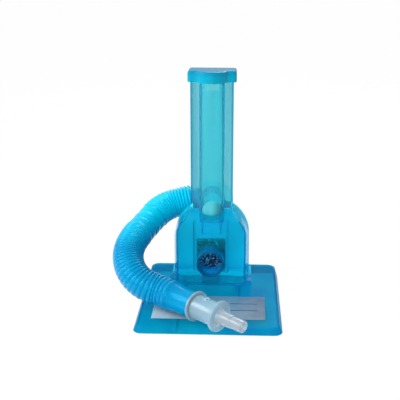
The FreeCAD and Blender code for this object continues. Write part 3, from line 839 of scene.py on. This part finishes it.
def dress_column():
    """The column's two clear parts and the ball."""
    # Both clear parts carry vertical streaks of painted highlight in their tint.
    channel = tinted_plastic("channel_plastic", tint=(0.44, 0.73, 0.77), absorbed=(350, 50, 25),
                             clear=0.95, rough=0.05, highlight_streaks=True, fade=CHANNEL_FADE)
    column = tinted_plastic("column_plastic", tint=(0.42, 0.63, 0.7), absorbed=(250, 44, 23),
                            clear=0.95, rough=0.06, highlight_streaks=True, fade=COLUMN_FADE)
    ball = moulded_plastic("ball_plastic", colour=(0.72, 0.8, 0.78), deep=(0.66, 0.76, 0.75),
                           rough=0.4, glow=0.1, shine=WHITE)
    dress(channel, "ball_channel", edge=0.3 * MM)
    dress(column, "return_duct", edge=0.4 * MM)
    dress(ball, "ball", edge=0.0)


def dress_outlet():
    """The flange and the elbow behind the column."""
    flange = tinted_plastic("flange_plastic", tint=(0.5, 0.99, 0.99), absorbed=(60, 0, 0),
                            clear=0.99, rough=0.04, ior=1.01)
    elbow = tinted_plastic("elbow_plastic", tint=(0.02, 0.86, 0.97), absorbed=(100, 5, 1),
                           clear=0.93, rough=0.1, ior=1.05)
    dress(flange, "outlet_flange", edge=0.3 * MM)
    dress(elbow, "outlet_elbow", edge=0.3 * MM)


def add_cap_and_foam():
    """The rounder cap and the pored foam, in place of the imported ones."""
    cap = tinted_plastic("cap_plastic", tint=(0.006, 0.42, 0.58), absorbed=(200, 25, 8),
                         clear=0.3, rough=0.18, ior=1.25, fade=CAP_FADE)
    rounded_cap = cap_piece(cap)
    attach(rounded_cap, "root")
    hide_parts("top_cap")
    foam = foam_piece(foam_material())
    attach(foam, "root")
    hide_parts("foam_filter")


def add_hose_and_mouthpiece():
    """The hose and what is on its end."""
    # Painted light: the hose's colour turns brighter on its upper stretch, above 52 mm.
    corrugated = moulded_plastic("hose_plastic", colour=(0.0, 0.28, 0.54), deep=(0.0, 0.24, 0.49),
                                 rough=0.2, glow=0.35, shine=(0.1, 0.7, 1.0), fade=HOSE_PAINTED_LIGHT)
    frosted = tinted_plastic("mouthpiece_plastic", tint=(0.45, 0.64, 0.73), absorbed=None,
                             clear=0.7, rough=0.35, ior=1.35, frost=0.6)
    clearer = tinted_plastic("nozzle_plastic", tint=(0.49, 0.56, 0.61), absorbed=None,
                             clear=0.65, rough=0.25, ior=1.35, frost=0.5)
    path = Path(smooth_line(hose_route()))
    hose = hose_piece(path, corrugated)
    adapter = adapter_piece(frosted)
    nub = nub_piece(frosted)
    nozzle = nozzle_piece(clearer)
    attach(hose, "hose_assembly")
    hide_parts("hose_rear_cuff", "hose_upper", "hose_middle_cuff", "hose_lower", "hose_front_cuff")
    for piece in (adapter, nub, nozzle):
        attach(piece, "mouthpiece")
    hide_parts("mouthpiece_adapter")
    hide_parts("mouthpiece_nozzle")


# Stage

def seen_white(material, shares):
    """How far each kind of ray sees plain white."""
    rays = node(material, "LightPath").outputs
    seen = [reckon(material, "MULTIPLY", rays[ray], share) for ray, share in shares.items()]
    return largest(material, seen)


def stage_floor():
    """A plain white floor that keeps a faint shadow."""
    half = FLOOR_SIZE / 2
    corners = [(-half, -half, 0), (half, -half, 0), (half, half, 0), (-half, half, 0)]
    material, output = new_material("white_floor")
    lit = node(material, "BsdfDiffuse", Color=FLOOR_COLOUR)
    glow = node(material, "Emission", Color=WHITE, Strength=1.0)
    mixed = mix_shaders(material, seen_white(material, FLOOR_SEEN), lit, glow)
    feed(material, output.inputs["Surface"], mixed)
    new_piece("floor", corners, [(0, 1, 2, 3)], material)


def stage_world():
    """Pale light that is stronger overhead and to the left, seen as white."""
    world = bpy.data.worlds.new("studio")
    world.use_nodes = True
    bpy.context.scene.world = world
    towards = node(world, "VectorMath", operation="DOT_PRODUCT")
    feed(world, towards.inputs[0], node(world, "TexCoord").outputs["Generated"])
    feed(world, towards.inputs[1], SKY_TOWARDS)
    sky = ramp(world, towards.outputs["Value"], *SKY_FADE, *SKY_STRENGTH)
    background = world.node_tree.nodes["Background"]
    feed(world, background.inputs["Color"], WHITE)
    feed(world, background.inputs["Strength"], largest(world, [sky, seen_white(world, SKY_SEEN)]))


def let_light_through():
    """Enough bounces to see through every wall of the clear plastic."""
    cycles = bpy.context.scene.cycles
    cycles.max_bounces = LIGHT_BOUNCES
    cycles.transmission_bounces = LIGHT_BOUNCES
    cycles.transparent_max_bounces = LIGHT_BOUNCES


def area_lamp(name, place, size, power):
    """A soft square lamp that looks at the middle of the object."""
    data = bpy.data.lights.new(name, "AREA")
    data.shape = "SQUARE"
    data.size = size
    data.energy = power
    lamp = bpy.data.objects.new(name, data)
    bpy.context.scene.collection.objects.link(lamp)
    lamp.location = place
    lamp.rotation_euler = (LAMP_TARGET - Vector(place)).to_track_quat("-Z", "Y").to_euler()


def stage_lamps():
    """Key lamp from the left, a fill from beside the camera and a rim lamp from behind."""
    area_lamp("key_lamp", *KEY_LAMP)
    area_lamp("fill_lamp", *FILL_LAMP)
    area_lamp("rim_lamp", *RIM_LAMP)


def stage_camera():
    """The photograph's camera."""
    yaw, pitch, roll = math.radians(CAMERA_YAW), math.radians(CAMERA_PITCH), math.radians(CAMERA_ROLL)
    forward = Vector((-math.sin(yaw) * math.cos(pitch), math.cos(yaw) * math.cos(pitch), -math.sin(pitch)))
    level = Vector((math.cos(yaw), math.sin(yaw), 0))
    above = level.cross(forward)
    right = level * math.cos(roll) + above * math.sin(roll)
    up = above * math.cos(roll) - level * math.sin(roll)
    data = bpy.data.cameras.new("camera")
    data.sensor_width = SENSOR_WIDTH
    data.lens = FOCAL_PIXELS * SENSOR_WIDTH / IMAGE_PIXELS
    data.shift_x = 0.5 - PRINCIPAL_POINT[0] / IMAGE_PIXELS
    data.shift_y = PRINCIPAL_POINT[1] / IMAGE_PIXELS - 0.5
    camera = bpy.data.objects.new("camera", data)
    turn = Matrix((right, up, -forward)).transposed().to_4x4()
    camera.matrix_world = Matrix.Translation(CAMERA_PLACE) @ turn
    bpy.context.scene.collection.objects.link(camera)
    bpy.context.scene.camera = camera


bpy.context.scene.view_settings.view_transform = "Standard"
let_light_through()
stage_camera()
stage_world()
stage_lamps()
stage_floor()
dress_base()
dress_housing()
dress_inside()
dress_column()
dress_outlet()
add_cap_and_foam()
add_hose_and_mouthpiece()
